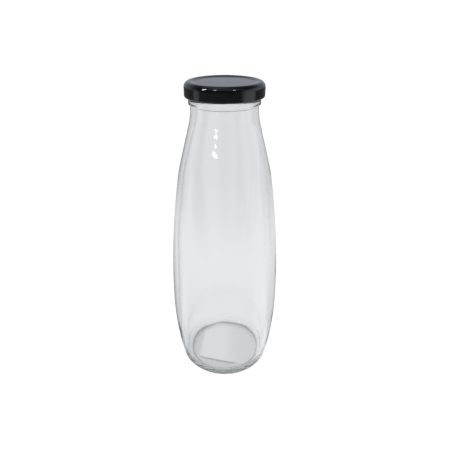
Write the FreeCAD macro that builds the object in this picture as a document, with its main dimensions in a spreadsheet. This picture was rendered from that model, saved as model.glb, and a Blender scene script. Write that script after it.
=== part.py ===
import FreeCAD, Part
import math
import os
import re
import Sketcher

# Glass milk bottle with a black twist-off cap and the sealing ring inside the cap.
# Millimetres, +Z up. The origin is on the bottle's axis, on the surface that it stands on.

# Driving dimensions: name, value, meaning.
SIZES = [
    ("bottle_height", 200.8, "standing surface to the sealing rim of the glass"),
    ("base_diameter", 61.7, "where the side would meet the standing surface with no heel rounding"),
    ("heel_radius", 5.0, "rounding between the side and the standing surface"),
    ("bearing_inset", 0.25, "edge of the hollow under the base, inwards from the heel rounding"),
    ("push_up_depth", 3.0, "height of the hollow under the base, on the axis"),
    ("belly_diameter", 73.4, "widest place of the body"),
    ("belly_height", 54.0, "height of the widest place"),
    ("shoulder_diameter", 58.0, "where the body's long curve meets the neck cone"),
    ("shoulder_drop", 52.8, "that place, down from the sealing rim"),
    ("shoulder_blend", 110.0, "radius that softens the shoulder"),
    ("finish_diameter", 39.6, "wall of the mouth between the ramps"),
    ("mouth_wall", 2.8, "glass between that wall and the bore of the mouth"),
    ("rim_radius", 0.9, "rounding on both edges of the sealing rim"),
    ("neck_step", 0.5, "neck under the neck ring, out from the wall of the mouth"),
    ("neck_length", 7.1, "foot of the neck ring down to the neck cone's corner"),
    ("neck_blend", 36.0, "radius that softens the foot of the neck"),
    ("ring_step", 1.0, "neck ring, out from the neck"),
    ("ring_height", 3.6, "neck ring, along the axis"),
    ("ring_clearance", 0.75, "neck ring to the cap's lower edge"),
    ("ring_lower_radius", 0.6, "rounding on the lower edge of the neck ring"),
    ("ring_upper_radius", 1.0, "rounding on the upper edge of the neck ring"),
    ("ring_root_radius", 0.35, "hollow rounding where the neck ring leaves the neck"),
    ("wall", 3.0, "glass wall at belly and shoulder"),
    ("heel_wall", 3.0, "glass wall at the foot of the side"),
    ("base_thickness", 3.0, "glass over the hollow of the base, on the axis"),
    ("floor_edge", 3.4, "inner floor above the standing surface, at the foot of the wall"),
    ("inner_heel_radius", 7.0, "rounding between the inner floor and the wall"),
    ("ramp_count", 4, "thread ramps round the mouth, and lugs in the cap"),
    ("ramp_reach", 1.3, "ramp, out from the wall of the mouth"),
    ("ramp_root", 1.6, "ramp at the wall of the mouth, along the axis"),
    ("ramp_crest", 1.0, "ramp at its crest, along the axis"),
    ("ramp_sink", 0.5, "how far a ramp's section reaches into the glass"),
    ("ramp_margin", 0.4, "upper end of a ramp to the rounding of the sealing rim"),
    ("ramp_lead", 16.0, "rise of the cap in one whole turn"),
    ("cap_height", 8.8, "crest of the cap's rim to the bottom of its curl"),
    ("tinplate", 0.22, "thickness of the cap's sheet"),
    ("skirt_clearance", 0.5, "crests of the ramps to the cap's rolled edge"),
    ("curl_radius", 1.0, "outer radius of that rolled edge"),
    ("crest_step", 0.2, "bore of the mouth outwards to the inner edge of the cap's raised rim"),
    ("crest_radius", 1.4, "rounding on the inner edge of the raised rim"),
    ("cap_shoulder_radius", 2.6, "rounding between the raised rim and the skirt"),
    ("panel_recess", 0.9, "depth of the sunk panel under the crest of the rim"),
    ("panel_slope", 0.8, "width of the sloping wall round the sunk panel"),
    ("panel_radius", 0.5, "hollow rounding round the sunk panel"),
    ("lug_gap", 0.45, "noses of the cap's lugs to the wall of the mouth"),
    ("lug_height", 1.3, "lug, along the axis"),
    ("lug_arc", 17.0, "length of one lug in degrees"),
    ("lug_clearance", 0.15, "lug to ramp when the cap is closed"),
    ("gasket_thickness", 1.0, "sealing ring over the sealing rim"),
    ("gasket_inset", 0.65, "inner edge of the raised rim to the sealing ring"),
    ("gasket_radius", 0.3, "rounding on the lower edges of the sealing ring"),
    ("film_gap", 0.03, "bond line between the sealing ring and the cap"),
]

# Radii that several pieces share: the mouth's wall gives the neck, the bore, the thread and the cap.
FINISH = "(finish_diameter / 2)"
MOUTH = f"({FINISH} - mouth_wall)"
NECK = f"({FINISH} + neck_step)"
RING = f"({NECK} + ring_step)"
RAMP = f"({FINISH} + ramp_reach)"
CAP = f"({RAMP} + skirt_clearance + 2 * curl_radius)"
CREST_EDGE = f"({MOUTH} + crest_step)"
PANEL_EDGE = f"({CREST_EDGE} - panel_slope)"
LUG_NOSE = f"({FINISH} + lug_gap)"
BASE = "(base_diameter / 2)"
PUSH_UP = f"({BASE} - heel_radius - bearing_inset)"
INNER_BASE = f"({BASE} - heel_wall)"
BELLY = "(belly_diameter / 2)"
SHOULDER = "(shoulder_diameter / 2)"

# Heights that several pieces share: the cap's lower edge gives the neck ring, the lugs and the ramps.
GASKET_TOP = "(bottle_height + gasket_thickness)"
CREST = f"({GASKET_TOP} + film_gap + tinplate)"
PANEL = f"({CREST} - panel_recess)"
SKIRT_END = f"({CREST} - cap_height)"
CURL_CENTRE = f"({SKIRT_END} + curl_radius)"
LUG_MIDDLE = f"({SKIRT_END} + lug_height / 2)"
LUG_TOP = f"({SKIRT_END} + lug_height)"
RAMP_FOOT = f"({LUG_TOP} + lug_clearance)"
RAMP_RISE = f"(bottle_height - rim_radius - ramp_margin - ramp_root - {RAMP_FOOT})"
RING_TOP = f"({SKIRT_END} - ring_clearance)"
RING_FOOT = f"({RING_TOP} - ring_height)"
NECK_CORNER = f"({RING_FOOT} - neck_length)"
SHOULDER_CORNER = "(bottle_height - shoulder_drop)"

NEAR = 1e-4
FULL_TURN = 360.0
UP = FreeCAD.Vector(0, 0, 1)
CENTRE = 3
BLEND_STEPS = 20

doc = FreeCAD.newDocument("milk_bottle")
sheet = doc.addObject("Spreadsheet::Sheet", "Sizes")
for row, (alias, size, meaning) in enumerate(SIZES, start=1):
    sheet.set(f"A{row}", meaning)
    sheet.set(f"B{row}", str(size))
    sheet.setAlias(f"B{row}", alias)
doc.recompute()


def bound(formula):
    """Expression on the sheet's cells for a formula written with their names."""
    return re.sub(r"[a-z_]+", r"Sizes.\g<0>", formula)


def measure(formula):
    """Present value of such a formula."""
    return float(sheet.evalExpression(bound(formula)))


def new_body(label):
    """Body for one piece of the object."""
    body = doc.addObject("PartDesign::Body", label)
    body.Label = label
    return body


def upright_sketch(body, name):
    """Sketch in the half plane of radius and height."""
    plane = next(item for item in body.Origin.OriginFeatures if item.Role == "XZ_Plane")
    sketch = body.newObject("Sketcher::SketchObject", name)
    sketch.AttachmentSupport = (plane, [""])
    sketch.MapMode = "FlatFace"
    return sketch


def hold(sketch, element, point, direction, formula):
    """Ties one coordinate of a sketch point to a formula."""
    if formula == "0":
        axis = -2 if direction == "DistanceX" else -1
        sketch.addConstraint(Sketcher.Constraint("PointOnObject", element, point, axis))
        return
    rule = Sketcher.Constraint(direction, -1, 1, element, point, measure(formula))
    number = sketch.addConstraint(rule)
    sketch.setExpression(f"Constraints[{number}]", bound(formula))


class Side:
    """One side of an outline: a line, or an arc about a centre, travelled from start to end."""

    def __init__(self, start, end, centre=None):
        self.start = FreeCAD.Vector(*start, 0)
        self.end = FreeCAD.Vector(*end, 0)
        self.centre = FreeCAD.Vector(*centre, 0) if centre else None
        self.ends = (1, 2)
        self.element = None
        if centre:
            self.radius = self.start.distanceToPoint(self.centre)
            spokes = (self.start - self.centre).cross(self.end - self.centre)
            self.leftward = spokes.z > 0
            self.ends = (1, 2) if self.leftward else (2, 1)

    def heading(self, point):
        """Direction of travel at a point."""
        if not self.centre:
            return (self.end - self.start).normalize()
        spoke = (point - self.centre).normalize()
        return UP.cross(spoke) if self.leftward else spoke.cross(UP)

    def foot(self, point):
        """Nearest point on the side's whole line or circle."""
        if not self.centre:
            along = self.heading(point)
            return self.start + along * (point - self.start).dot(along)
        return self.centre + (point - self.centre).normalize() * self.radius

    def geometry(self):
        """Curve for the sketch. An arc always runs anticlockwise there."""
        if not self.centre:
            return Part.LineSegment(self.start, self.end)
        first, last = (self.start, self.end) if self.leftward else (self.end, self.start)
        angles = [math.atan2(point.y - self.centre.y, point.x - self.centre.x) for point in (first, last)]
        return Part.ArcOfCircle(Part.Circle(self.centre, UP, self.radius), *angles)


def arc_centre(start, end, direction, fixed):
    """Centre as far from both points, with one coordinate known."""
    known = 0 if direction == "DistanceX" else 1
    other = 1 - known
    reach = [(point[known] - fixed) ** 2 + point[other] ** 2 for point in (start, end)]
    free = (reach[0] - reach[1]) / (2 * (start[other] - end[other]))
    return (fixed, free) if known == 0 else (free, fixed)


def blend_side(before, after, radius):
    """Tangent arc of a radius between two sides that meet, which are cut back to it."""
    corner = before.end
    turning = before.heading(corner).cross(after.heading(corner)).z
    inward = radius if turning > 0 else -radius
    middle = corner
    for _ in range(BLEND_STEPS):
        # Newton step: both feet have to be a radius away, on the inner side of the bend.
        normals = [UP.cross(side.heading(side.foot(middle))) for side in (before, after)]
        short = [
            inward - (middle - side.foot(middle)).dot(normal)
            for side, normal in zip((before, after), normals)
        ]
        spread = normals[0].x * normals[1].y - normals[0].y * normals[1].x
        middle = middle + FreeCAD.Vector(
            (short[0] * normals[1].y - short[1] * normals[0].y) / spread,
            (normals[0].x * short[1] - normals[1].x * short[0]) / spread,
            0,
        )
    before.end = before.foot(middle)
    after.start = after.foot(middle)
    return Side(before.end[:2], after.start[:2], middle[:2])


def draw_outline(sketch, corners, arcs=None, blends=None):
    """Closed outline through (radius, height) formulas.

    A side is a line, or an arc where arcs gives one coordinate of its centre, under the number of the corner
    that the side leaves. Corners in blends are rounded in the outline with the radius given there.
    """
    arcs = arcs or {}
    blends = blends or {}
    points = [(measure(radius), measure(height)) for radius, height in corners]
    sides = []
    for number, start in enumerate(points):
        end = points[(number + 1) % len(points)]
        centre = None
        if number in arcs:
            direction, formula = arcs[number]
            centre = arc_centre(start, end, direction, measure(formula))
        sides.append(Side(start, end, centre))
    rounded = {}
    for number, radius in blends.items():
        rounded[number] = blend_side(sides[number - 1], sides[number], measure(radius))
    for side in [*sides, *rounded.values()]:
        side.element = sketch.addGeometry(side.geometry(), False)

    for number, (radius, height) in enumerate(corners):
        before, after = sides[number - 1], sides[number]
        joint = (before.element, before.ends[1], after.element, after.ends[0])
        element, point = after.element, after.ends[0]
        if number in rounded:
            blend = rounded[number]
            element = sketch.addGeometry(Part.Point(FreeCAD.Vector(*points[number], 0)), True)
            point = 1
            for side, end, blend_end in ((before, 1, 0), (after, 0, 1)):
                sketch.addConstraint(Sketcher.Constraint("PointOnObject", element, point, side.element))
                joint = (side.element, side.ends[end], blend.element, blend.ends[blend_end])
                sketch.addConstraint(Sketcher.Constraint("Tangent", *joint))
            rule = Sketcher.Constraint("Radius", blend.element, measure(blends[number]))
            constraint = sketch.addConstraint(rule)
            sketch.setExpression(f"Constraints[{constraint}]", bound(blends[number]))
        else:
            sketch.addConstraint(Sketcher.Constraint("Coincident", *joint))
        hold(sketch, element, point, "DistanceX", radius)
        hold(sketch, element, point, "DistanceY", height)
    for number, (direction, formula) in arcs.items():
        hold(sketch, sides[number].element, CENTRE, direction, formula)


def turn(body, kind, name, corners, arcs=None, blends=None, angle=None):
    """Revolved feature of an outline, a whole turn or the angle that a cell holds."""
    sketch = upright_sketch(body, f"{name}_outline")
    draw_outline(sketch, corners, arcs, blends)
    feature = body.newObject(f"PartDesign::{kind}", name)
    feature.Profile = (sketch, [""])
    feature.ReferenceAxis = (sketch, ["V_Axis"])
    feature.Angle = FULL_TURN
    if angle:
        feature.setExpression("Angle", bound(angle))
    doc.recompute()
    return feature


def ring_edge(shape, radius, height):
    """Name of the round edge at a radius and height."""
    for number, edge in enumerate(shape.Edges, start=1):
        if edge.Degenerated or not isinstance(edge.Curve, Part.Circle):
            continue
        off = abs(edge.Curve.Radius - radius) + abs(edge.Curve.Center.z - height)
        if off < NEAR:
            return f"Edge{number}"
    raise ValueError(f"no round edge at radius {radius:.3f}, height {height:.3f}")


def round_rings(body, name, rings, radius):
    """Fillet on the round edges at (radius, height) formulas."""
    base = body.Tip
    names = [ring_edge(base.Shape, measure(place), measure(height)) for place, height in rings]
    fillet = body.newObject("PartDesign::Fillet", name)
    fillet.Base = (base, names)
    fillet.setExpression("Radius", bound(radius))
    doc.recompute()
    return fillet


def repeat(body, name, feature):
    """Copies of a feature, evenly round the axis."""
    axis = next(item for item in body.Origin.OriginFeatures if item.Role == "Z_Axis")
    pattern = body.newObject("PartDesign::PolarPattern", name)
    pattern.Originals = [feature]
    pattern.Axis = (axis, [""])
    pattern.Angle = FULL_TURN
    pattern.setExpression("Occurrences", bound("ramp_count"))
    body.Tip = pattern
    doc.recompute()
    return pattern


def glass_bottle():
    """Blown bottle: hollow base, barrel body, neck, neck ring and mouth with its thread ramps."""
    body = new_body("glass_bottle")
    on_belly = ("DistanceY", "belly_height")
    on_axis = ("DistanceX", "0")
    turn(
        body,
        "Revolution",
        "outside",
        [
            ("0", "push_up_depth"),
            (PUSH_UP, "0"),
            (BASE, "0"),
            (BELLY, "belly_height"),
            (SHOULDER, SHOULDER_CORNER),
            (NECK, NECK_CORNER),
            (NECK, RING_FOOT),
            (RING, RING_FOOT),
            (RING, RING_TOP),
            (FINISH, RING_TOP),
            (FINISH, "bottle_height"),
            ("0", "bottle_height"),
        ],
        {0: on_axis, 2: on_belly, 3: on_belly},
        {4: "shoulder_blend", 5: "neck_blend"},
    )
    round_rings(body, "heel", [(BASE, "0")], "heel_radius")
    round_rings(body, "ring_lower", [(RING, RING_FOOT)], "ring_lower_radius")
    round_rings(body, "ring_upper", [(RING, RING_TOP)], "ring_upper_radius")
    roots = [(NECK, RING_FOOT), (FINISH, RING_TOP)]
    round_rings(body, "ring_roots", roots, "ring_root_radius")
    turn(
        body,
        "Groove",
        "cavity",
        [
            ("0", "push_up_depth + base_thickness"),
            (INNER_BASE, "floor_edge"),
            (f"{BELLY} - wall", "belly_height"),
            (f"{SHOULDER} - wall", SHOULDER_CORNER),
            (MOUTH, NECK_CORNER),
            (MOUTH, "bottle_height"),
            ("0", "bottle_height"),
        ],
        {0: on_axis, 1: on_belly, 2: on_belly},
        {3: "shoulder_blend - wall", 4: "neck_blend + wall"},
    )
    round_rings(body, "inner_heel", [(INNER_BASE, "floor_edge")], "inner_heel_radius")
    rims = [(MOUTH, "bottle_height"), (FINISH, "bottle_height")]
    round_rings(body, "sealing_rim", rims, "rim_radius")

    # One thread ramp: a tapered section that climbs round the mouth, right-handed.
    section = upright_sketch(body, "ramp_section")
    taper = "(ramp_root - ramp_crest) / 2"
    draw_outline(
        section,
        [
            (f"{FINISH} - ramp_sink", RAMP_FOOT),
            (FINISH, RAMP_FOOT),
            (RAMP, f"{RAMP_FOOT} + {taper}"),
            (RAMP, f"{RAMP_FOOT} + {taper} + ramp_crest"),
            (FINISH, f"{RAMP_FOOT} + ramp_root"),
            (f"{FINISH} - ramp_sink", f"{RAMP_FOOT} + ramp_root"),
        ],
    )
    ramp = body.newObject("PartDesign::AdditiveHelix", "thread_ramp")
    ramp.Profile = (section, [""])
    ramp.ReferenceAxis = (section, ["V_Axis"])
    ramp.Mode = "pitch-turns-angle"
    ramp.setExpression("Pitch", bound("ramp_lead"))
    ramp.setExpression("Turns", bound(f"{RAMP_RISE} / ramp_lead"))
    doc.recompute()
    repeat(body, "thread_ramps", ramp)
    return body


def cap_shell():
    """Drawn tinplate cap: sunk panel, raised rim, skirt, rolled lower edge and the lugs pressed out of it."""
    body = new_body("cap_shell")
    turn(
        body,
        "Revolution",
        "drawn_cup",
        [
            ("0", PANEL),
            (PANEL_EDGE, PANEL),
            (CREST_EDGE, CREST),
            (CAP, CREST),
            (CAP, CURL_CENTRE),
            ("0", CURL_CENTRE),
        ],
    )
    round_rings(body, "panel_edge", [(PANEL_EDGE, PANEL)], "panel_radius")
    round_rings(body, "rim_inner_edge", [(CREST_EDGE, CREST)], "crest_radius")
    round_rings(body, "rim_outer_edge", [(CAP, CREST)], "cap_shoulder_radius")
    underside = min(range(len(body.Tip.Shape.Faces)), key=lambda i: body.Tip.Shape.Faces[i].CenterOfMass.z)
    cup = body.Tip
    sheet_metal = body.newObject("PartDesign::Thickness", "sheet_metal")
    sheet_metal.Base = (cup, [f"Face{underside + 1}"])
    sheet_metal.setExpression("Value", bound("tinplate"))
    sheet_metal.Reversed = True
    doc.recompute()

    # The lower edge of the sheet is rolled inwards for three quarters of a turn.
    middle = f"({CAP} - curl_radius)"
    roll = ("DistanceY", CURL_CENTRE)
    turn(
        body,
        "Revolution",
        "rolled_edge",
        [
            (CAP, CURL_CENTRE),
            (middle, SKIRT_END),
            (f"{middle} - curl_radius", CURL_CENTRE),
            (middle, f"{CURL_CENTRE} + curl_radius"),
            (middle, f"{CURL_CENTRE} + curl_radius - tinplate"),
            (f"{middle} - curl_radius + tinplate", CURL_CENTRE),
            (middle, f"{SKIRT_END} + tinplate"),
            (f"{CAP} - tinplate", CURL_CENTRE),
        ],
        {0: roll, 1: roll, 2: roll, 4: roll, 5: roll, 6: roll},
    )

    # One lug: the roll flattened and pushed inwards to a round nose.
    nose = f"{LUG_NOSE} + lug_height / 2"
    round_nose = ("DistanceY", LUG_MIDDLE)
    lug = turn(
        body,
        "Revolution",
        "lug",
        [
            (f"{CAP} - tinplate / 2", SKIRT_END),
            (f"{CAP} - tinplate / 2", LUG_TOP),
            (nose, LUG_TOP),
            (LUG_NOSE, LUG_MIDDLE),
            (nose, SKIRT_END),
        ],
        {2: round_nose, 3: round_nose},
        angle="lug_arc",
    )
    repeat(body, "lugs", lug)
    return body


def sealing_gasket():
    """Ring of soft compound in the channel under the cap's raised rim, resting on the glass."""
    body = new_body("sealing_gasket")
    inner = f"({CREST_EDGE} + gasket_inset)"
    outer = f"({CAP} - cap_shoulder_radius)"
    turn(
        body,
        "Revolution",
        "ring",
        [(inner, "bottle_height"), (outer, "bottle_height"), (outer, GASKET_TOP), (inner, GASKET_TOP)],
    )
    round_rings(body, "lower_edges", [(inner, "bottle_height"), (outer, "bottle_height")], "gasket_radius")
    return body


pieces = [glass_bottle(), cap_shell(), sealing_gasket()]
doc.recompute()

for item in doc.Objects:
    if "Invalid" in item.State or "Error" in item.State:
        raise RuntimeError(f"{item.Label} failed: {item.State}")
for piece in pieces:
    if piece.Shape.isNull() or not piece.Shape.isValid() or len(piece.Shape.Solids) != 1:
        raise RuntimeError(f"{piece.Label} is not one valid solid")

os.makedirs("parts", exist_ok=True)
for piece in pieces:
    piece.Shape.exportStep(f"parts/{piece.Label}.step")
    print(f"{piece.Label}: {piece.Shape.Volume:.1f} mm3, {len(piece.Shape.Faces)} faces")
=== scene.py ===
"""Clear glass milk bottle with a black twist-off cap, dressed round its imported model."""

import logging
import math
from dataclasses import dataclass
from enum import Enum
from itertools import pairwise
from typing import Callable

import bpy
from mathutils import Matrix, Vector

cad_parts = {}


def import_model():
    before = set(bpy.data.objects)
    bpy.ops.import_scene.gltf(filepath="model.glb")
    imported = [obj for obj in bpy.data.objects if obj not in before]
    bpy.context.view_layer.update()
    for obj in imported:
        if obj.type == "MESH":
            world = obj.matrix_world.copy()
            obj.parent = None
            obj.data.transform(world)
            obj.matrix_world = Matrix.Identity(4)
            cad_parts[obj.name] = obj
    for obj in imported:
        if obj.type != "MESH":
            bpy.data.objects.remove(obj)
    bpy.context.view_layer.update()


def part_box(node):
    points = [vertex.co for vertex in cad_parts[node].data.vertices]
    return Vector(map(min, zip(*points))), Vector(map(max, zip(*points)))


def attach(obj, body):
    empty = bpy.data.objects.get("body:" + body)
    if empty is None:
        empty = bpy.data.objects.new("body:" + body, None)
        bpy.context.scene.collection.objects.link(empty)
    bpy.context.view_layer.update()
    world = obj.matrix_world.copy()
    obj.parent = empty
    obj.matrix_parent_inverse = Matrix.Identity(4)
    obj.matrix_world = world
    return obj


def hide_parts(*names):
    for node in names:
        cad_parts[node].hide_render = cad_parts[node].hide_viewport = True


LOG = logging.getLogger("milk_bottle")

# Pieces are sized in millimetres, which become metres in their meshes. Shaders and studio use metres.
MM = 0.001
MERGE_DISTANCE = 1e-6
FULL_TURN = 360.0
# Points of a piece count as lying on a surface within this many millimetres.
NEAR = 0.01
# Share of a short edge that its rounding takes, so that no two points of the outline fall together.
ROUNDING_SHARE = 0.99
WHITE = (1.0, 1.0, 1.0)

# A point is a radius and a height. A shaper turns an angle in degrees, a radius and a height into a point.
Point = tuple[float, float]
Outline = list[Point]
Shaper = Callable[[float, float, float], Point]
Colour = tuple[float, float, float]
Socket = bpy.types.NodeSocket


def spread(start: float, end: float, steps: int) -> list[float]:
    """Even values from start to end, both included.

    Args:
        start: first value.
        end: last value.
        steps: number of stretches between the values.

    Returns:
        The values, one more than steps.
    """
    return [start + (end - start) * number / steps for number in range(steps + 1)]


def arc(centre: Point, radius: float, start: float, end: float, steps: int) -> Outline:
    """Round stretch of an outline.

    Args:
        centre: middle of the circle.
        radius: radius of the circle.
        start: angle of the first point in degrees, counted from outwards to upwards.
        end: angle of the last point.
        steps: number of stretches.

    Returns:
        The points, both ends included.
    """
    turns = [math.radians(angle) for angle in spread(start, end, steps)]
    return [(centre[0] + radius * math.cos(turn), centre[1] + radius * math.sin(turn)) for turn in turns]


def rounded(corners: list[tuple[float, float, float]], steps: int) -> Outline:
    """Straight runs with rounded corners.

    Args:
        corners: radius and height of each corner, and the radius of its rounding.
        steps: number of stretches in each rounding.

    Returns:
        The points from the first corner to the last, which both stay sharp.
    """
    outline = [corners[0][:2]]
    for before, corner, after in zip(corners, corners[1:], corners[2:]):
        place = Vector(corner[:2])
        back = (Vector(before[:2]) - place).normalized()
        ahead = (Vector(after[:2]) - place).normalized()
        half = back.angle(ahead) / 2
        middle = place + (back + ahead).normalized() * corner[2] / math.sin(half)
        first = place + back * corner[2] / math.tan(half) - middle
        turn = first.angle_signed(place + ahead * corner[2] / math.tan(half) - middle)
        start = math.degrees(math.atan2(first.y, first.x))
        outline += arc(tuple(middle), corner[2], start, start - math.degrees(turn), steps)
    return outline + [corners[-1][:2]]


def crossing(first: Point, first_reach: float, second: Point, second_reach: float) -> Point:
    """Place at given distances from two points, on the side away from the axis.

    Args:
        first: one point.
        first_reach: distance from it.
        second: the other point.
        second_reach: distance from that.

    Returns:
        The place.
    """
    across, up = second[0] - first[0], second[1] - first[1]
    gap = math.hypot(across, up)
    along = (first_reach**2 - second_reach**2 + gap**2) / (2 * gap)
    aside = math.sqrt(first_reach**2 - along**2)
    foot = (first[0] + along * across / gap, first[1] + along * up / gap)
    both = [(foot[0] + sign * aside * up / gap, foot[1] - sign * aside * across / gap) for sign in (1, -1)]
    return max(both)


def bearing(centre: Point, place: Point) -> float:
    """Angle in degrees from a centre to a place, counted from outwards to upwards."""
    return math.degrees(math.atan2(place[1] - centre[1], place[0] - centre[0]))


def crown_radius(top: float, edge: Point) -> float:
    """Radius of the sphere through a top on the axis and a round edge."""
    rise = top - edge[1]
    return (edge[0] ** 2 + rise**2) / (2 * rise)


def crown(top: float, radius: float, places: list[float]) -> Outline:
    """Outline of a sphere's crown on the axis.

    Args:
        top: height of the crown on the axis.
        radius: radius of the sphere.
        places: distances from the axis.

    Returns:
        The points at these distances.
    """
    return [(place, top - radius + math.sqrt(radius**2 - place**2)) for place in places]


def fade(value: float, low: float, high: float) -> float:
    """Smooth step from 0 at low to 1 at high.

    Args:
        value: place between the two.
        low: where the step starts.
        high: where it ends.

    Returns:
        Height of the step.
    """
    share = min(max((value - low) / (high - low), 0.0), 1.0)
    return share * share * (3 - 2 * share)


def soft_least(first: float, second: float, width: float) -> float:
    """Lesser of two values, rounded off where they are nearly equal.

    Args:
        first: one value.
        second: the other value.
        width: difference from which there is no rounding.

    Returns:
        The rounded lesser value.
    """
    near = max(width - abs(first - second), 0.0) / width
    return min(first, second) - near**2 * width / 4


class Lathe:
    """Turns an outline into a mesh round the bottle's axis."""

    def __init__(self, name: str, outline: Outline, groups: dict[str, range] | None = None) -> None:
        """Draws the outline as a chain of edges.

        Args:
            name: name of the new piece.
            outline: points in millimetres.
            groups: vertex groups, each for a range of the outline's points.
        """
        places = [Vector((radius, 0.0, height)) * MM for radius, height in outline]
        bpy.ops.object.select_all(action="DESELECT")
        bpy.ops.mesh.primitive_plane_add(size=MM, location=places[0])
        self.piece = bpy.context.object
        self.piece.name = self.piece.data.name = name
        bpy.ops.object.transform_apply(location=True, rotation=True, scale=True)
        bpy.ops.object.mode_set(mode="EDIT")
        bpy.ops.mesh.select_all(action="SELECT")
        bpy.ops.mesh.merge(type="CENTER")
        for before, after in pairwise(places):
            bpy.ops.mesh.extrude_vertices_move(TRANSFORM_OT_translate={"value": after - before})
        bpy.ops.object.mode_set(mode="OBJECT")
        for group, members in (groups or {}).items():
            self.piece.vertex_groups.new(name=group).add(list(members), 1.0, "REPLACE")

    def close(self) -> None:
        """Joins the outline's last point to its first."""
        mesh = self.piece.data
        ends = (0, len(mesh.vertices) - 1)
        for vertex in mesh.vertices:
            vertex.select = vertex.index in ends
        bpy.ops.object.mode_set(mode="EDIT")
        bpy.ops.mesh.edge_face_add()
        bpy.ops.object.mode_set(mode="OBJECT")

    def turn(self, steps: int) -> bpy.types.Object:
        """Spins the outline round the axis.

        Args:
            steps: number of faces round.

        Returns:
            The piece, with its seam and poles merged and its faces outwards.
        """
        bpy.ops.object.mode_set(mode="EDIT")
        bpy.ops.mesh.select_all(action="SELECT")
        bpy.ops.mesh.spin(steps=steps, angle=math.tau, center=(0, 0, 0), axis=(0, 0, 1))
        bpy.ops.mesh.select_all(action="SELECT")
        bpy.ops.mesh.remove_doubles(threshold=MERGE_DISTANCE)
        bpy.ops.mesh.normals_make_consistent(inside=False)
        bpy.ops.object.mode_set(mode="OBJECT")
        return self.piece


def press(piece: bpy.types.Object, shape: Shaper) -> None:
    """Moves the points of a turned piece, as a tool pressed on it would.

    Args:
        piece: the piece.
        shape: gives each point's new radius and height.
    """
    for vertex in piece.data.vertices:
        across, along, height = vertex.co / MM
        radius = math.hypot(across, along)
        if radius < MERGE_DISTANCE:
            continue
        angle = math.degrees(math.atan2(along, across)) % FULL_TURN
        new_radius, new_height = shape(angle, radius, height)
        vertex.co = Vector((across * new_radius / radius, along * new_radius / radius, new_height)) * MM
    piece.data.update()


def pick(piece: bpy.types.Object) -> None:
    """Makes a piece the only selected and the active one.

    Args:
        piece: the piece.
    """
    bpy.ops.object.select_all(action="DESELECT")
    piece.select_set(True)
    bpy.context.view_layer.objects.active = piece


def apply_modifier(piece: bpy.types.Object, kind: str, **settings: object) -> None:
    """Adds a modifier and applies it.

    Args:
        piece: the piece.
        kind: type of the modifier.
        settings: its properties.
    """
    pick(piece)
    modifier = piece.modifiers.new(kind.title(), kind)
    for name, value in settings.items():
        setattr(modifier, name, value)
    bpy.ops.object.modifier_apply(modifier=modifier.name)


def smooth(piece: bpy.types.Object, angle: float) -> None:
    """Shades a piece smooth up to an edge angle in degrees."""
    pick(piece)
    bpy.ops.object.shade_smooth_by_angle(angle=math.radians(angle))


@dataclass(frozen=True)
class Ramp:
    """Smooth change from a first to a last level while a value goes from low to high."""

    low: float
    high: float
    first: float = 0.0
    last: float = 1.0


@dataclass(frozen=True)
class Grain:
    """Noise pattern."""

    scale: float
    detail: float
    roughness: float = 0.5
    dimensions: str = "3D"


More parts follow.
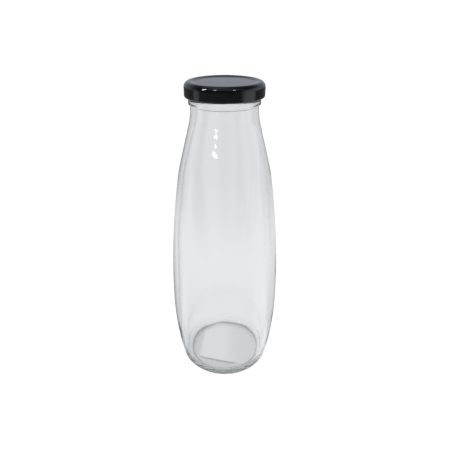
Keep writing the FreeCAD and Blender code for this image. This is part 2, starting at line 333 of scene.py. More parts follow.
class Graph:
    """Short hand for a node tree."""

    def __init__(self, tree: bpy.types.NodeTree, output: str) -> None:
        """Empties a tree and gives it an output node.

        Args:
            tree: the tree of a material or world.
            output: type of the output node, without its prefix.
        """
        self.tree = tree
        tree.nodes.clear()
        self.output = self.add(output)

    def add(self, kind: str, **settings: object) -> bpy.types.Node:
        """Adds a node.

        Args:
            kind: type of the node, without its prefix.
            settings: properties, and inputs by name with blanks as underscores or by number after one.

        Returns:
            The node.
        """
        node = self.tree.nodes.new("ShaderNode" + kind)
        for name, value in settings.items():
            if hasattr(node, name):
                setattr(node, name, value)
                continue
            socket = node.inputs[int(name[1:])] if name[0] == "_" else node.inputs[name.replace("_", " ")]
            if isinstance(value, Socket):
                self.tree.links.new(value, socket)
            else:
                socket.default_value = value
        return node

    def show(self, node: bpy.types.Node, name: str = "Surface") -> None:
        """Links a shader node to an input of the output node."""
        self.tree.links.new(node.outputs[0], self.output.inputs[name])

    def math(self, operation: str, *values: Socket | float) -> Socket:
        """Result of a sum on numbers or sockets.

        Args:
            operation: Blender's name of it.
            values: its numbers or sockets.

        Returns:
            The result.
        """
        inputs = {f"_{number}": value for number, value in enumerate(values)}
        return self.add("Math", operation=operation, **inputs).outputs[0]

    def product(self, first: Socket, *others: Socket) -> Socket:
        """Product of several values.

        Args:
            first: one value.
            others: the other values.

        Returns:
            The product.
        """
        for other in others:
            first = self.math("MULTIPLY", first, other)
        return first

    def most(self, first: Socket, *others: Socket) -> Socket:
        """Greatest of several values.

        Args:
            first: one value.
            others: the other values.

        Returns:
            The greatest.
        """
        for other in others:
            first = self.math("MAXIMUM", first, other)
        return first

    def away(self, across: Socket, along: Socket) -> Socket:
        """Distance from the bottle's axis."""
        squares = self.math("ADD", self.math("POWER", across, 2.0), self.math("POWER", along, 2.0))
        return self.math("SQRT", squares)

    def ramp(self, value: Socket, ramp: Ramp) -> Socket:
        """Level of a ramp at a value."""
        limits = {"_1": ramp.low, "_2": ramp.high, "_3": ramp.first, "_4": ramp.last}
        return self.add("MapRange", interpolation_type="SMOOTHSTEP", _0=value, **limits).outputs[0]

    def noise(self, place: Socket, grain: Grain) -> Socket:
        """Value of a noise pattern at a place.

        Args:
            place: the place.
            grain: the pattern.

        Returns:
            The value.
        """
        node = self.add(
            "TexNoise",
            noise_dimensions=grain.dimensions,
            Vector=place,
            Scale=grain.scale,
            Detail=grain.detail,
            Roughness=grain.roughness,
        )
        return node.outputs[0]

    def between(self, factor: Socket, first: Socket | float, last: Socket | float) -> Socket:
        """Number between two, the first for a factor of 0 and the last for 1."""
        return self.add("Mix", data_type="FLOAT", _0=factor, _2=first, _3=last).outputs[0]

    def mix(self, factor: Socket, first: Socket | Colour, last: Socket | Colour) -> Socket:
        """Colour between two, the first for a factor of 0 and the last for 1."""
        start, end = (colour if isinstance(colour, Socket) else (*colour, 1) for colour in (first, last))
        return self.add("Mix", data_type="RGBA", _0=factor, _6=start, _7=end).outputs[2]


def new_material(name: str) -> tuple[bpy.types.Material, Graph, Socket]:
    """Material with an output node and an Object coordinate.

    Args:
        name: name of the material.

    Returns:
        The material, its graph and the coordinate.
    """
    material = bpy.data.materials.new(name)
    material.use_nodes = True
    graph = Graph(material.node_tree, "OutputMaterial")
    return material, graph, graph.add("TexCoord").outputs["Object"]


@dataclass(frozen=True)
class ClearGlass:
    """Bottle glass, grey-green where it is thick, with a thin film of dust and a scuffed heel.

    Its grazing-angle fields are painted shade: a darker tint at the glass's edges, uneven, and stronger on
    the left.
    """

    ior: float = 1.52
    absorption_tint: Colour = (0.30, 0.375, 0.335)
    absorption_density: float = 10.0
    film: Grain = Grain(38.0, 4.0, 0.6)
    film_haze: Ramp = Ramp(0.5, 0.75, 0.0, 0.03)
    # Painted shade: a darker tint at grazing angles in place of the glass's dark edges.
    edge_shade_tint: Colour = (0.22, 0.24, 0.25)
    edge_shade_blend: float = 0.5
    edge_shade_angle: Ramp = Ramp(0.62, 1.0)
    edge_shade_grain: Grain = Grain(22.0, 2.0)
    edge_shade_uneven: Ramp = Ramp(0.35, 0.65, 0.55, 1.0)
    edge_shade_side: Ramp = Ramp(-0.02, 0.02, 1.3, 0.45)
    scuff_height: Ramp = Ramp(0.001, 0.010, 0.35, 0.0)
    scuff_radius: Ramp = Ramp(0.0245, 0.0275)

    def make(self) -> bpy.types.Material:
        """Builds the material.

        Returns:
            The material.
        """
        material, graph, place = new_material("clear_glass")
        across, along, up = graph.add("SeparateXYZ", Vector=place).outputs
        haze = graph.ramp(graph.noise(place, self.film), self.film_haze)
        ring = graph.ramp(graph.away(across, along), self.scuff_radius)
        scuffs = graph.product(graph.ramp(up, self.scuff_height), ring)
        # Painted shade: darker tint at grazing angles, uneven and stronger on the left, for the glass's dark
        # edges.
        grazing = graph.add("LayerWeight", Blend=self.edge_shade_blend).outputs["Facing"]
        uneven = graph.ramp(graph.noise(place, self.edge_shade_grain), self.edge_shade_uneven)
        strength = graph.product(uneven, graph.ramp(across, self.edge_shade_side))
        rim = graph.product(graph.ramp(grazing, self.edge_shade_angle), strength)
        surface = graph.add(
            "BsdfPrincipled",
            Base_Color=graph.mix(rim, WHITE, self.edge_shade_tint),
            Roughness=graph.math("ADD", haze, scuffs),
            IOR=self.ior,
            Transmission_Weight=1.0,
        )
        absorption = graph.add(
            "VolumeAbsorption", Color=(*self.absorption_tint, 1), Density=self.absorption_density
        )
        graph.show(surface)
        graph.show(absorption, "Volume")
        return material


@dataclass(frozen=True)
class BlackLacquer:
    """Gloss black stoving lacquer on tinplate, with smudges, a little dust and a fine orange peel."""

    body: Colour = (0.007, 0.007, 0.008)
    dust: Colour = (0.016, 0.016, 0.018)
    smudge: Grain = Grain(90.0, 5.0, 0.62)
    gloss: Ramp = Ramp(0.42, 0.7, 0.05, 0.12)
    dusty: Ramp = Ramp(0.5, 0.8)
    peel: Grain = Grain(1400.0, 2.0)
    peel_depth: float = 0.012
    peel_strength: float = 0.1
    ior: float = 1.5

    def make(self) -> bpy.types.Material:
        """Builds the material.

        Returns:
            The material.
        """
        material, graph, place = new_material("black_lacquer")
        smudge = graph.noise(place, self.smudge)
        peel = graph.noise(place, self.peel)
        bump = graph.add("Bump", Strength=self.peel_strength, Distance=self.peel_depth * MM, Height=peel)
        surface = graph.add(
            "BsdfPrincipled",
            Base_Color=graph.mix(graph.ramp(smudge, self.dusty), self.body, self.dust),
            Roughness=graph.ramp(smudge, self.gloss),
            IOR=self.ior,
            Normal=bump.outputs[0],
        )
        graph.show(surface)
        return material


@dataclass(frozen=True)
class InsideLacquer:
    """Thin gold varnish on the inner side of the tinplate."""

    thin: Colour = (0.62, 0.48, 0.22)
    thick: Colour = (0.5, 0.35, 0.12)
    flow: Grain = Grain(120.0, 3.0)
    thickness: Ramp = Ramp(0.35, 0.65)
    gloss: Ramp = Ramp(0.3, 0.7, 0.3, 0.42)
    metallic: float = 0.85
    ior: float = 1.5

    def make(self) -> bpy.types.Material:
        """Builds the material.

        Returns:
            The material.
        """
        material, graph, place = new_material("inside_lacquer")
        flow = graph.noise(place, self.flow)
        surface = graph.add(
            "BsdfPrincipled",
            Base_Color=graph.mix(graph.ramp(flow, self.thickness), self.thin, self.thick),
            Roughness=graph.ramp(flow, self.gloss),
            Metallic=self.metallic,
            IOR=self.ior,
        )
        graph.show(surface)
        return material


@dataclass(frozen=True)
class SoftSeal:
    """Off-white sealing compound, cured in the cap."""

    body: Colour = (0.74, 0.71, 0.63)
    shade: Colour = (0.64, 0.6, 0.51)
    flow: Grain = Grain(260.0, 4.0)
    shaded: Ramp = Ramp(0.35, 0.65)
    grain: Grain = Grain(1800.0, 2.0)
    grain_depth: float = 0.05
    grain_strength: float = 0.3
    roughness: float = 0.48
    ior: float = 1.48

    def make(self) -> bpy.types.Material:
        """Builds the material.

        Returns:
            The material.
        """
        material, graph, place = new_material("soft_seal")
        shaded = graph.ramp(graph.noise(place, self.flow), self.shaded)
        grain = graph.noise(place, self.grain)
        bump = graph.add("Bump", Strength=self.grain_strength, Distance=self.grain_depth * MM, Height=grain)
        surface = graph.add(
            "BsdfPrincipled",
            Base_Color=graph.mix(shaded, self.body, self.shade),
            Roughness=self.roughness,
            IOR=self.ior,
            Normal=bump.outputs[0],
        )
        graph.show(surface)
        return material


@dataclass
class Wall:
    """One side of the glass from the foot to the neck: two long arcs, a cone and the neck, softly joined."""

    foot: Point
    belly: Point
    shoulder: Point
    neck: Point
    shoulder_blend: float
    neck_blend: float

    def arc_radius(self, end: Point) -> float:
        """Radius of the long arc from the belly to another place."""
        inward = self.belly[0] - end[0]
        return (inward**2 + (end[1] - self.belly[1]) ** 2) / (2 * inward)

    def arc_centre(self, end: Point) -> Point:
        """Centre of that arc, level with the belly."""
        return (self.belly[0] - self.arc_radius(end), self.belly[1])

    def radius(self, height: float) -> float:
        """Radius of the wall at a height.

        Args:
            height: height over the standing surface.

        Returns:
            The radius.
        """
        end = self.foot if height < self.belly[1] else self.shoulder
        reach = self.arc_radius(end)
        body = self.belly[0] - reach + math.sqrt(reach**2 - (height - self.belly[1]) ** 2)
        if height < self.belly[1]:
            return body
        slope = (self.shoulder[0] - self.neck[0]) / (self.neck[1] - self.shoulder[1])
        cone = self.shoulder[0] - slope * (height - self.shoulder[1])
        body_slope = math.tan(math.asin((self.shoulder[1] - self.belly[1]) / reach))
        shoulder = soft_least(body, cone, self.shoulder_blend * (slope - body_slope) ** 2 / 2)
        return -soft_least(-shoulder, -self.neck[0], self.neck_blend * slope**2 / 2)

    def rows(self, heights: list[float]) -> Outline:
        """Points of the wall at given heights."""
        return [(self.radius(height), height) for height in heights]


@dataclass
class GlassBottle:
    """The blown bottle with its hollow base, neck ring and thread ramps.

    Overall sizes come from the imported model. Sizes across are radii, and rows are faces along the outline.
    """

    height: float
    belly: float
    belly_height: float = 54.0
    base: float = 30.85
    heel: float = 6.3
    push_up: float = 25.0
    push_up_depth: float = 3.0
    shoulder: Point = (29.0, 148.0)
    shoulder_blend: float = 110.0
    neck: Point = (20.3, 181.8)
    neck_blend: float = 36.0
    wall: float = 3.0
    heel_wall: float = 3.0
    floor: float = 6.0
    floor_edge: float = 3.4
    inner_heel: float = 7.0
    ring: float = 21.3
    ring_foot: float = 188.9
    ring_top: float = 192.5
    ring_root: float = 0.35
    ring_under: float = 0.6
    ring_over: float = 1.0
    ring_clear: float = 1.0
    finish: float = 19.8
    bore: float = 17.0
    rim: float = 0.9
    ramp_count: int = 4
    ramp_foot: float = 194.7
    ramp_height: float = 1.6
    ramp_reach: float = 1.3
    ramp_arc: float = 72.0
    ramp_lead: float = 16.0
    ramp_run_in: float = 4.5
    ramp_run_out: float = 9.0
    uneven_wall: float = 0.35
    uneven_scale: float = 0.03
    uneven_depth: int = 1
    even_rows: int = 30
    crown_rows: int = 22
    heel_rows: int = 40
    body_rows: int = 100
    ring_rows: int = 6
    mouth_rows: int = 40
    rim_rows: int = 8
    faces_round: int = 192
    smooth_angle: float = 60.0

    @classmethod
    def from_frame(cls) -> "GlassBottle":
        """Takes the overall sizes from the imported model."""
        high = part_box("glass_bottle")[1] / MM
        return cls(height=high.z, belly=high.x)

    def outside(self) -> Wall:
        """Outer side of the glass."""
        belly = (self.belly, self.belly_height)
        return Wall((self.base, 0.0), belly, self.shoulder, self.neck, self.shoulder_blend, self.neck_blend)

    def inside(self) -> Wall:
        """Inner side of the glass.

        Returns:
            The wall.
        """
        return Wall(
            (self.base - self.heel_wall, self.floor_edge),
            (self.belly - self.wall, self.belly_height),
            (self.shoulder[0] - self.wall, self.shoulder[1]),
            (self.bore, self.neck[1]),
            self.shoulder_blend - self.wall,
            self.neck_blend + self.wall,
        )

    def neck_ring(self, foot: float, top: float) -> Outline:
        """Outline of the neck ring between the neck and the wall of the mouth.

        Args:
            foot: height on the neck where it starts.
            top: height on the mouth where it ends.

        Returns:
            The points, without the start and the end.
        """
        corners = [
            (self.neck[0], foot, 0),
            (self.neck[0], self.ring_foot, self.ring_root * ROUNDING_SHARE),
            (self.ring, self.ring_foot, self.ring_under * ROUNDING_SHARE),
            (self.ring, self.ring_top, self.ring_over),
            (self.finish, self.ring_top, self.ring_root),
            (self.finish, top, 0),
        ]
        return rounded(corners, self.ring_rows)[1:-1]

    def outer_outline(self) -> Outline:
        """Outline of the outer side, from the axis under the base up to the sealing rim.

        Returns:
            The points.
        """
        under = crown_radius(self.push_up_depth, (self.push_up, 0.0))
        push_up = crown(self.push_up_depth, under, spread(0.0, self.push_up, self.crown_rows))
        side = self.outside()
        centre = side.arc_centre(side.foot)
        reach = side.arc_radius(side.foot) - self.heel
        middle = (centre[0] + math.sqrt(reach**2 - (self.heel - centre[1]) ** 2), self.heel)
        heel = arc(middle, self.heel, -90, bearing(centre, middle), self.heel_rows)
        heights = spread(heel[-1][1], self.ring_foot - self.ring_root, self.body_rows)[1:]
        mouth_foot = self.ring_top + self.ring_clear
        ring = self.neck_ring(heights[-1], mouth_foot)
        mouth_heights = spread(mouth_foot, self.height - self.rim, self.mouth_rows)
        mouth = [(self.finish, height) for height in mouth_heights]
        rim = arc((self.finish - self.rim, self.height - self.rim), self.rim, 0, 90, self.rim_rows)
        return push_up + heel + side.rows(heights) + ring + mouth + rim[1:]

    def inner_outline(self) -> Outline:
        """Outline of the inner side, from the sealing rim down to the axis on the floor.

        Returns:
            The points.
        """
        side = self.inside()
        sphere = crown_radius(self.floor, side.foot)
        floor_middle = (0.0, self.floor - sphere)
        side_middle = side.arc_centre(side.foot)
        side_reach = side.arc_radius(side.foot) - self.inner_heel
        middle = crossing(floor_middle, sphere + self.inner_heel, side_middle, side_reach)
        top = bearing(side_middle, middle)
        low = bearing(floor_middle, middle) - 180
        heel = arc(middle, self.inner_heel, top, low, self.heel_rows)
        rim = arc((self.bore + self.rim, self.height - self.rim), self.rim, 90, 180, self.rim_rows)
        heights = spread(self.height - self.rim, heel[0][1], self.body_rows)[1:-1]
        floor = crown(self.floor, sphere, spread(heel[-1][0], 0.0, self.crown_rows))
        return rim + side.rows(heights) + heel + floor[1:]

    def thread(self, angle: float, radius: float, height: float) -> Point:
        """Raises the thread ramps out of the wall of the mouth.

        Args:
            angle: place round the axis in degrees.
            radius: radius of the point.
            height: height of the point.

        Returns:
            New radius and height.
        """
        if abs(radius - self.finish) > NEAR or not self.ring_top < height < self.height - self.rim:
            return radius, height
        along = angle % (FULL_TURN / self.ramp_count)
        middle = self.ramp_foot + self.ramp_height / 2 + self.ramp_lead * along / FULL_TURN
        off = abs(height - middle) / (self.ramp_height / 2)
        crest = math.sqrt(max(1 - off**2, 0.0))
        start = fade(along, 0, self.ramp_run_in)
        end = 1 - fade(along, self.ramp_arc - self.ramp_run_out, self.ramp_arc)
        return radius + self.ramp_reach * crest * start * end, height

    def build(self) -> bpy.types.Object:
        """Models the bottle.

        Returns:
            The finished piece.
        """
        outer, inner = self.outer_outline(), self.inner_outline()
        outline = outer + inner[1:]
        cavity = range(len(outer) + self.even_rows, len(outline))
        piece = Lathe("bottle_glass", outline, {"cavity": cavity}).turn(self.faces_round)
        press(piece, self.thread)
        waves = bpy.data.textures.new("blown_unevenness", "CLOUDS")
        waves.noise_scale = self.uneven_scale
        waves.noise_depth = self.uneven_depth
        apply_modifier(
            piece,
            "DISPLACE",
            texture=waves,
            texture_coords="LOCAL",
            vertex_group="cavity",
            strength=self.uneven_wall * MM,
            mid_level=0.5,
        )
        smooth(piece, self.smooth_angle)
        return piece

    def dress(self, piece: bpy.types.Object, finish: ClearGlass) -> None:
        """Gives the piece its glass and its place in the frame.

        Args:
            piece: the modelled bottle.
            finish: its glass.
        """
        piece.data.materials.append(finish.make())
        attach(piece, "bottle")
        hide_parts("glass_bottle")


@dataclass
class TwistCap:
    """The drawn tinplate cap with its rolled edge and lugs.

    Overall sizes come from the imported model. Sizes across are radii, and rows are faces along the outline.
    """

    radius: float
    top: float
    bottom: float
    flat: float = 15.0
    rise_start: float = 15.8
    panel: float = 17.0
    crest: float = 19.9
    recess: float = 0.75
    panel_blend: float = 6.0
    crest_blend: float = 4.0
    shoulder: float = 3.15
    sheet: float = 0.22
    curl: float = 1.0
    curl_clear: float = 1.0
    curl_end: float = -270.0
    lug_count: int = 4
    lug_arc: float = 17.0
    lug_nose: float = 20.25
    lug_blend: float = 5.0
    flat_rows: int = 6
    blend_rows: int = 12
    curl_rows: int = 24
    faces_round: int = 192
    smooth_angle: float = 50.0

    @classmethod
    def from_frame(cls) -> "TwistCap":
        """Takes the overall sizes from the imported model."""
        low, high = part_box("cap_shell")
        return cls(radius=high.x / MM, top=high.z / MM, bottom=low.z / MM)

    def outline(self) -> Outline:
        """Outer side of the sheet, from the axis to the free end of the roll.

        Returns:
            The points.
        """
        floor = self.top - self.recess
        flat = [(place, floor) for place in spread(0.0, self.flat, self.flat_rows)]
        middle = (self.radius - self.curl, self.bottom + self.curl)
        corners = [
            (self.rise_start, floor, 0),
            (self.panel, floor, self.panel_blend),
            (self.crest, self.top, self.crest_blend),
            (self.radius, self.top, self.shoulder),
            (self.radius, middle[1] + self.curl_clear, 0),
        ]
        roll = arc(middle, self.curl, 0, self.curl_end, self.curl_rows)
        return flat + rounded(corners, self.blend_rows) + roll

    def lugs(self, angle: float, radius: float, height: float) -> Point:
        """Presses the roll inwards to the lugs.

        Args:
            angle: place round the axis in degrees.
            radius: radius of the point.
            height: height of the point.

        Returns:
            New radius and height.
        """
        roll_top = self.bottom + 2 * self.curl
        if height > roll_top + NEAR or radius > self.radius - NEAR:
            return radius, height
        along = angle % (FULL_TURN / self.lug_count)
        start = fade(along, 0.0, self.lug_blend)
        end = 1 - fade(along, self.lug_arc - self.lug_blend, self.lug_arc)
        inward = fade(self.radius - radius, 0.0, 2 * self.curl)
        push = self.radius - 2 * self.curl - self.lug_nose
        return radius - push * start * end * inward, height

    def build(self) -> bpy.types.Object:
        """Models the cap.

        Returns:
            The finished piece, with a material slot for each side of the sheet.
        """
        piece = Lathe("cap_tinplate", self.outline()).turn(self.faces_round)
        press(piece, self.lugs)
        # Solidify gives the inner side its own slot only where both slots are there already.
        for _ in range(2):
            piece.data.materials.append(None)
        apply_modifier(
            piece,
            "SOLIDIFY",
            thickness=self.sheet * MM,
            offset=-1.0,
            material_offset=1,
            material_offset_rim=0,
        )
        smooth(piece, self.smooth_angle)
        return piece

    def dress(self, piece: bpy.types.Object, outer: BlackLacquer, inner: InsideLacquer) -> None:
        """Gives the piece its lacquers and its place in the frame.

        Args:
            piece: the modelled cap.
            outer: lacquer of the outer side.
            inner: lacquer of the inner side.
        """
        piece.data.materials[0] = outer.make()
        piece.data.materials[1] = inner.make()
        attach(piece, "cap")
        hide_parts("cap_shell")


@dataclass
class SealingRing:
    """The ring of sealing compound that fills the channel under the cap's raised rim.

    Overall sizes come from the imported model. The top slopes, and inner_top and outer_top are its drops.
    """

    outer: float
    top: float
    bottom: float
    inner: float = 17.85
    inner_top: float = 0.72
    outer_top: float = 0.1
    edge: float = 0.12
    seam: float = 0.5
    edge_rows: int = 5
    faces_round: int = 128
    smooth_angle: float = 50.0

    @classmethod
    def from_frame(cls) -> "SealingRing":
        """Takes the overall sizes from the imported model."""
        low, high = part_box("sealing_gasket")
        return cls(outer=high.x / MM, top=high.z / MM, bottom=low.z / MM)

    def build(self) -> bpy.types.Object:
        """Models the ring.

        Returns:
            The finished piece.
        """
        middle = (self.inner + self.outer) / 2
        loop = [
            (middle, self.bottom, 0),
            (self.outer, self.bottom, self.edge),
            (self.outer, self.top - self.outer_top, self.edge),
            (self.inner, self.top - self.inner_top, self.edge),
            (self.inner, self.bottom, self.edge),
            (middle - self.seam, self.bottom, 0),
        ]
        lathe = Lathe("sealing_ring", rounded(loop, self.edge_rows))
        lathe.close()
        piece = lathe.turn(self.faces_round)
        smooth(piece, self.smooth_angle)
        return piece

    def dress(self, piece: bpy.types.Object, finish: SoftSeal) -> None:
        """Gives the piece its compound and its place in the frame.

        Args:
            piece: the modelled ring.
            finish: its compound.
        """
        piece.data.materials.append(finish.make())
        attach(piece, "seal")
        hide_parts("sealing_gasket")


@dataclass(frozen=True)
class LampSizes:
    """One studio lamp: place and size in metres, brightness, and whether it lights the glass only."""

    place: tuple[float, float, float]
    width: float
    height: float
    brightness: float
    glass_only: bool = False

    def energy(self) -> float:
        """Power of an elliptical lamp of this size and brightness."""
        return self.brightness * math.pi**2 / 4 * self.width * self.height


class Lamp(Enum):
    """Lamps of the studio, named for the highlights that they give."""

    RIM_STREAK = LampSizes((-0.78, -0.30, 0.90), 0.12, 0.4, 30.0)
    RIM_LEFT = LampSizes((-0.42, -0.60, 1.10), 0.14, 0.14, 22.0)
    RIM_RIGHT = LampSizes((0.42, -0.60, 1.10), 0.12, 0.12, 18.0)
    WINDOW_TOP = LampSizes((-0.292, -0.532, 0.3035), 0.17, 0.015, 10.0, True)
    WINDOW_MIDDLE = LampSizes((-0.260, -0.554, 0.284), 0.07, 0.008, 9.0, True)
    WINDOW_FOOT = LampSizes((-0.276, -0.549, 0.266), 0.17, 0.011, 10.0, True)


@dataclass(frozen=True)
class Window:
    """Bright stretch of the room, between angles in degrees round the bottle from the front to the right."""

    start: float
    full: float
    still: float
    end: float
    level: float

    def make(self, graph: Graph, turn: Socket) -> Socket:
        """Brightness at an angle.

        Args:
            graph: graph of the floor.
            turn: the angle in radians.

        Returns:
            The brightness.
        """
        rise = Ramp(math.radians(self.start), math.radians(self.full), 0.0, self.level)
        fall = Ramp(math.radians(self.still), math.radians(self.end), 1.0, 0.0)
        return graph.product(graph.ramp(turn, rise), graph.ramp(turn, fall))


@dataclass(frozen=True)
class BaseLight:
    """Painted light and shade on the table under the bottle: a pale patch, shade round it, and a contact
    shadow ring.

    The patch has a slanted left and front edge and fades to the right. A painted shadow line follows its
    front.
    """

    outside: Ramp = Ramp(0.027, 0.034)
    # Painted shade under the bottle round the patch, and the patch's painted light.
    under_shade: float = 0.70
    pale: float = 0.90
    left_edge: float = -0.0184
    left_slant: float = 0.108
    front_edge: float = -0.0165
    front_slant: float = -0.21
    patch_edge: Ramp = Ramp(-0.0018, 0.0018)
    right_fade: Ramp = Ramp(-0.004, 0.012, 1.0, 0.45)
    # Painted shadow line along the patch's front.
    shadow_line: Ramp = Ramp(0.0, 0.0015, 0.38, 0.0)
    shadow_line_start: Ramp = Ramp(0.0, 0.0018)
    shadow_line_end: Ramp = Ramp(0.0055, 0.011, 1.0, 0.0)
    # Painted contact shadow ring where the bottle stands.
    ring: float = 0.0272
    ring_shift: float = 0.0006
    ring_waver: float = 0.0036
    ring_grain: Grain = Grain(70.0, 1.0, dimensions="2D")
    ring_shade: Ramp = Ramp(0.0, 0.0022, 0.48, 1.0)

    def patch(self, graph: Graph, across: Socket, along: Socket) -> Socket:
        """Brightness of the pale patch, less the painted shadow line along its front.

        Args:
            graph: graph of the floor.
            across: distance to the right of the bottle's axis.
            along: distance behind it.

        Returns:
            The brightness.
        """
        left_line = graph.math("MULTIPLY_ADD", along, self.left_slant, self.left_edge)
        front_line = graph.math("MULTIPLY_ADD", across, self.front_slant, self.front_edge)
        left = graph.math("SUBTRACT", across, left_line)
        front = graph.math("SUBTRACT", along, front_line)
        patch = graph.product(
            graph.ramp(left, self.patch_edge),
            graph.ramp(front, self.patch_edge),
            graph.ramp(across, self.right_fade),
        )
        # Painted shadow line along the patch's front.
        shadow_line = graph.product(
            graph.ramp(graph.math("ABSOLUTE", front), self.shadow_line),
            graph.ramp(left, self.shadow_line_start),
            graph.ramp(across, self.shadow_line_end),
        )
        tone = graph.math("MULTIPLY_ADD", patch, self.pale - self.under_shade, self.under_shade)
        return graph.math("SUBTRACT", tone, shadow_line)

    def contact_shadow(self, graph: Graph, place: Socket, across: Socket, away: Socket) -> Socket:
        """Painted contact shadow: darkening at the wavering ring where the bottle stands.

        Args:
            graph: graph of the floor.
            place: place on the floor.
            across: distance to the right of the bottle's axis.
            away: distance from it.

        Returns:
            The brightness.
        """
        waver = graph.noise(place, self.ring_grain)
        wide = graph.math("MULTIPLY_ADD", waver, self.ring_waver, self.ring - self.ring_waver / 2)
        wide = graph.math("MULTIPLY_ADD", across, self.ring_shift / self.ring, wide)
        off = graph.math("ABSOLUTE", graph.math("SUBTRACT", away, wide))
        return graph.ramp(off, self.ring_shade)

    def make(self, graph: Graph, place: Socket, across: Socket, along: Socket, away: Socket) -> Socket:
        """Factor of the light on the table.

        Args:
            graph: graph of the floor.
            place: place on the floor.
            across: distance to the right of the bottle's axis.
            along: distance behind it.
            away: distance from it.

        Returns:
            The factor.
        """
        tone = graph.between(graph.ramp(away, self.outside), self.patch(graph, across, along), 1.0)
        return graph.product(tone, self.contact_shadow(graph, place, across, away))


@dataclass(frozen=True)
class SeenThrough:
    """Brightness of the table as the glass shows it: duller far away, with faint streaks outwards."""

    table: Ramp = Ramp(0.1, 0.4, 0.86, 0.78)
    streak_grain: Grain = Grain(7.0, 2.0)
    streak_tone: Ramp = Ramp(0.35, 0.65, -1.0, 0.6)
    streak_start: Ramp = Ramp(0.08, 0.3, 0.0, 0.06)
    streak_end: Ramp = Ramp(0.6, 3.0, 1.0, 0.0)
    base: BaseLight = BaseLight()

    def make(self, graph: Graph, place: Socket, across: Socket, along: Socket, away: Socket) -> Socket:
        """Brightness at a place on the table.

        Args:
            graph: graph of the floor.
            place: place on the floor.
            across: distance to the right of the bottle's axis.
            along: distance behind it.
            away: distance from it.

        Returns:
            The brightness.
        """
        heading = graph.add("VectorMath", operation="NORMALIZE", _0=place).outputs[0]
        tone = graph.ramp(graph.noise(heading, self.streak_grain), self.streak_tone)
        depth = graph.product(graph.ramp(away, self.streak_start), graph.ramp(away, self.streak_end))
        streaks = graph.math("ADD", graph.product(tone, depth), 1.0)
        table = graph.product(graph.ramp(away, self.table), streaks)
        return graph.product(self.base.make(graph, place, across, along, away), table)


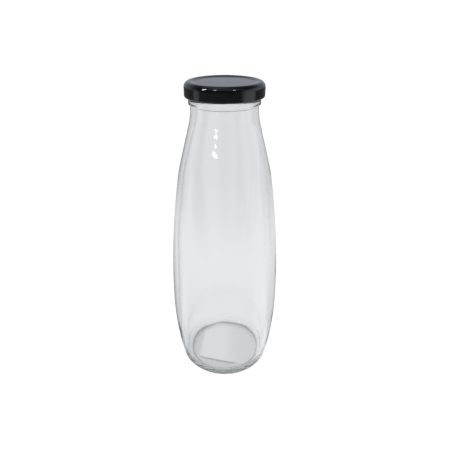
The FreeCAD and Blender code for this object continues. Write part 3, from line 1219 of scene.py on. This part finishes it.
@dataclass
class Studio:
    """Pale floor, soft surroundings, lamps and the camera.

    The camera sees floor and room as white, and the glass shows the through levels. Reflections show the
    table and two windows on the floor, and the walls, the front and a light overhead in the room.
    """

    floor_size: float = 8.0
    floor_cells: int = 8
    floor_drop: float = 0.0002
    camera_place: tuple[float, float, float] = (0.00025, -0.2539, 0.2417)
    camera_pitch: float = 27.677
    near_clip: float = 0.01
    lens: float = 34.0
    sensor: float = 36.0
    white: float = 1.05
    through: SeenThrough = SeenThrough()
    through_tint: Colour = (0.98, 0.985, 1.01)
    open_level: float = 0.78
    table_tint: Colour = (0.95, 0.97, 1.0)
    table_near: Ramp = Ramp(0.06, 0.25, 0.3, 0.8)
    table_far: Ramp = Ramp(0.25, 0.6, 1.0, 0.19)
    right_window: Window = Window(40.0, 64.0, 84.0, 102.0, 1.1)
    left_window: Window = Window(-99.0, -91.0, -79.0, -69.0, 0.85)
    room_tint: Colour = (0.9, 0.94, 1.08)
    back_wall: Ramp = Ramp(-0.2, 0.6, 0.05, 0.6)
    right_wall: Ramp = Ramp(0.6, 0.95, 0.0, 0.9)
    left_wall: Ramp = Ramp(-0.93, -0.985, 0.0, 0.5)
    wall_top: Ramp = Ramp(0.4, 0.72, 1.0, 0.25)
    front: Ramp = Ramp(0.0, -0.3, 0.0, 0.45)
    front_foot: Ramp = Ramp(0.6, 0.8)
    overhead: tuple[float, float, float] = (-0.17, 0.21, 0.963)
    overhead_light: Ramp = Ramp(0.9, 0.995, 0.0, 0.6)
    lamp_target: tuple[float, float, float] = (0.0, 0.0, 0.19)
    bounces: int = 48
    glass_bounces: int = 40

    def glow(
        self, graph: Graph, kind: str, room: Socket, through: Socket | float, tint: Colour
    ) -> bpy.types.Node:
        """Light that shows white to the camera, one level to reflections and another through glass.

        Args:
            graph: graph of the floor or the world.
            kind: type of the light node.
            room: level that reflections show.
            through: level that shows through glass.
            tint: colour that reflections show.

        Returns:
            The light node.
        """
        light = graph.add("LightPath")
        seen = light.outputs["Is Camera Ray"]
        inside = light.outputs["Is Transmission Ray"]
        level = graph.between(seen, graph.between(inside, room, through), self.white)
        colour = graph.mix(seen, graph.mix(inside, tint, self.through_tint), WHITE)
        return graph.add(kind, Color=colour, Strength=level)

    def floor(self) -> None:
        """Glowing pale table top."""
        bpy.ops.object.select_all(action="DESELECT")
        bpy.ops.mesh.primitive_grid_add(
            x_subdivisions=self.floor_cells,
            y_subdivisions=self.floor_cells,
            size=self.floor_size,
            location=(0, 0, -self.floor_drop),
        )
        piece = bpy.context.object
        piece.name = "studio_floor"
        material, graph, place = new_material("pale_floor")
        across, along, _ = graph.add("SeparateXYZ", Vector=place).outputs
        away = graph.away(across, along)
        turn = graph.math("ARCTAN2", across, graph.math("MULTIPLY", along, -1.0))
        room = graph.most(
            graph.product(graph.ramp(away, self.table_near), graph.ramp(away, self.table_far)),
            self.right_window.make(graph, turn),
            self.left_window.make(graph, turn),
        )
        through = self.through.make(graph, place, across, along, away)
        graph.show(self.glow(graph, "Emission", room, through, self.table_tint))
        piece.data.materials.append(material)

    def surroundings(self) -> None:
        """Soft grey room that the pieces reflect, with its walls, the front and a light overhead."""
        world = bpy.data.worlds.new("studio_room")
        bpy.context.scene.world = world
        world.use_nodes = True
        graph = Graph(world.node_tree, "OutputWorld")
        heading = graph.add("TexCoord").outputs["Generated"]
        across, along, up = graph.add("SeparateXYZ", Vector=heading).outputs
        walls = graph.most(
            graph.ramp(along, self.back_wall),
            graph.ramp(across, self.right_wall),
            graph.ramp(across, self.left_wall),
        )
        facing = graph.add("VectorMath", operation="DOT_PRODUCT", _0=heading, _1=self.overhead)
        room = graph.most(
            graph.product(walls, graph.ramp(up, self.wall_top)),
            graph.ramp(facing.outputs["Value"], self.overhead_light),
            graph.product(graph.ramp(along, self.front), graph.ramp(up, self.front_foot)),
        )
        graph.show(self.glow(graph, "Background", room, self.open_level, self.room_tint))

    def lamps(self, glass: bpy.types.Object) -> None:
        """Places the lamps and turns them to their target.

        Args:
            glass: piece that some of them light alone.
        """
        receivers = bpy.data.collections.new("lit_glass")
        receivers.objects.link(glass)
        target = Vector(self.lamp_target)
        for lamp in Lamp:
            sizes = lamp.value
            data = bpy.data.lights.new(lamp.name.lower(), "AREA")
            data.shape = "ELLIPSE"
            data.size, data.size_y = sizes.width, sizes.height
            data.energy = sizes.energy()
            piece = bpy.data.objects.new(data.name, data)
            piece.location = sizes.place
            piece.rotation_euler = (piece.location - target).to_track_quat("Z", "Y").to_euler()
            piece.visible_camera = False
            piece.visible_transmission = False
            if sizes.glass_only:
                piece.light_linking.receiver_collection = receivers
            bpy.context.scene.collection.objects.link(piece)

    def camera(self) -> None:
        """Camera at the photograph's viewing angle."""
        data = bpy.data.cameras.new("photo_camera")
        data.lens = self.lens
        data.sensor_width = self.sensor
        data.clip_start = self.near_clip
        piece = bpy.data.objects.new("photo_camera", data)
        piece.location = self.camera_place
        piece.rotation_euler = (math.radians(90 - self.camera_pitch), 0, 0)
        bpy.context.scene.collection.objects.link(piece)
        bpy.context.scene.camera = piece

    def set_up(self, glass: bpy.types.Object) -> None:
        """Builds the whole studio.

        Args:
            glass: the bottle's glass, for the lamps that light it alone.
        """
        scene = bpy.context.scene
        scene.view_settings.view_transform = "Standard"
        scene.cycles.max_bounces = self.bounces
        scene.cycles.transmission_bounces = self.glass_bounces
        scene.cycles.glossy_bounces = self.glass_bounces
        self.floor()
        self.surroundings()
        self.lamps(glass)
        self.camera()


def corners(box: tuple[Vector, Vector]) -> list[list[float]]:
    """Lowest and highest corner of a box as plain lists."""
    return [list(corner) for corner in box]


def main() -> None:
    """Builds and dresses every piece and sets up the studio."""
    logging.basicConfig(level=logging.INFO, format="%(name)s: %(message)s")
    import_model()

    bottle = GlassBottle.from_frame()
    cap = TwistCap.from_frame()
    seal = SealingRing.from_frame()
    pieces = [bottle.build(), cap.build(), seal.build()]
    bottle.dress(pieces[0], ClearGlass())
    cap.dress(pieces[1], BlackLacquer(), InsideLacquer())
    seal.dress(pieces[2], SoftSeal())
    for piece in pieces:
        LOG.info("%s: %d points, %d faces", piece.name, len(piece.data.vertices), len(piece.data.polygons))

    Studio().set_up(pieces[0])


if __name__ == "__main__":
    main()
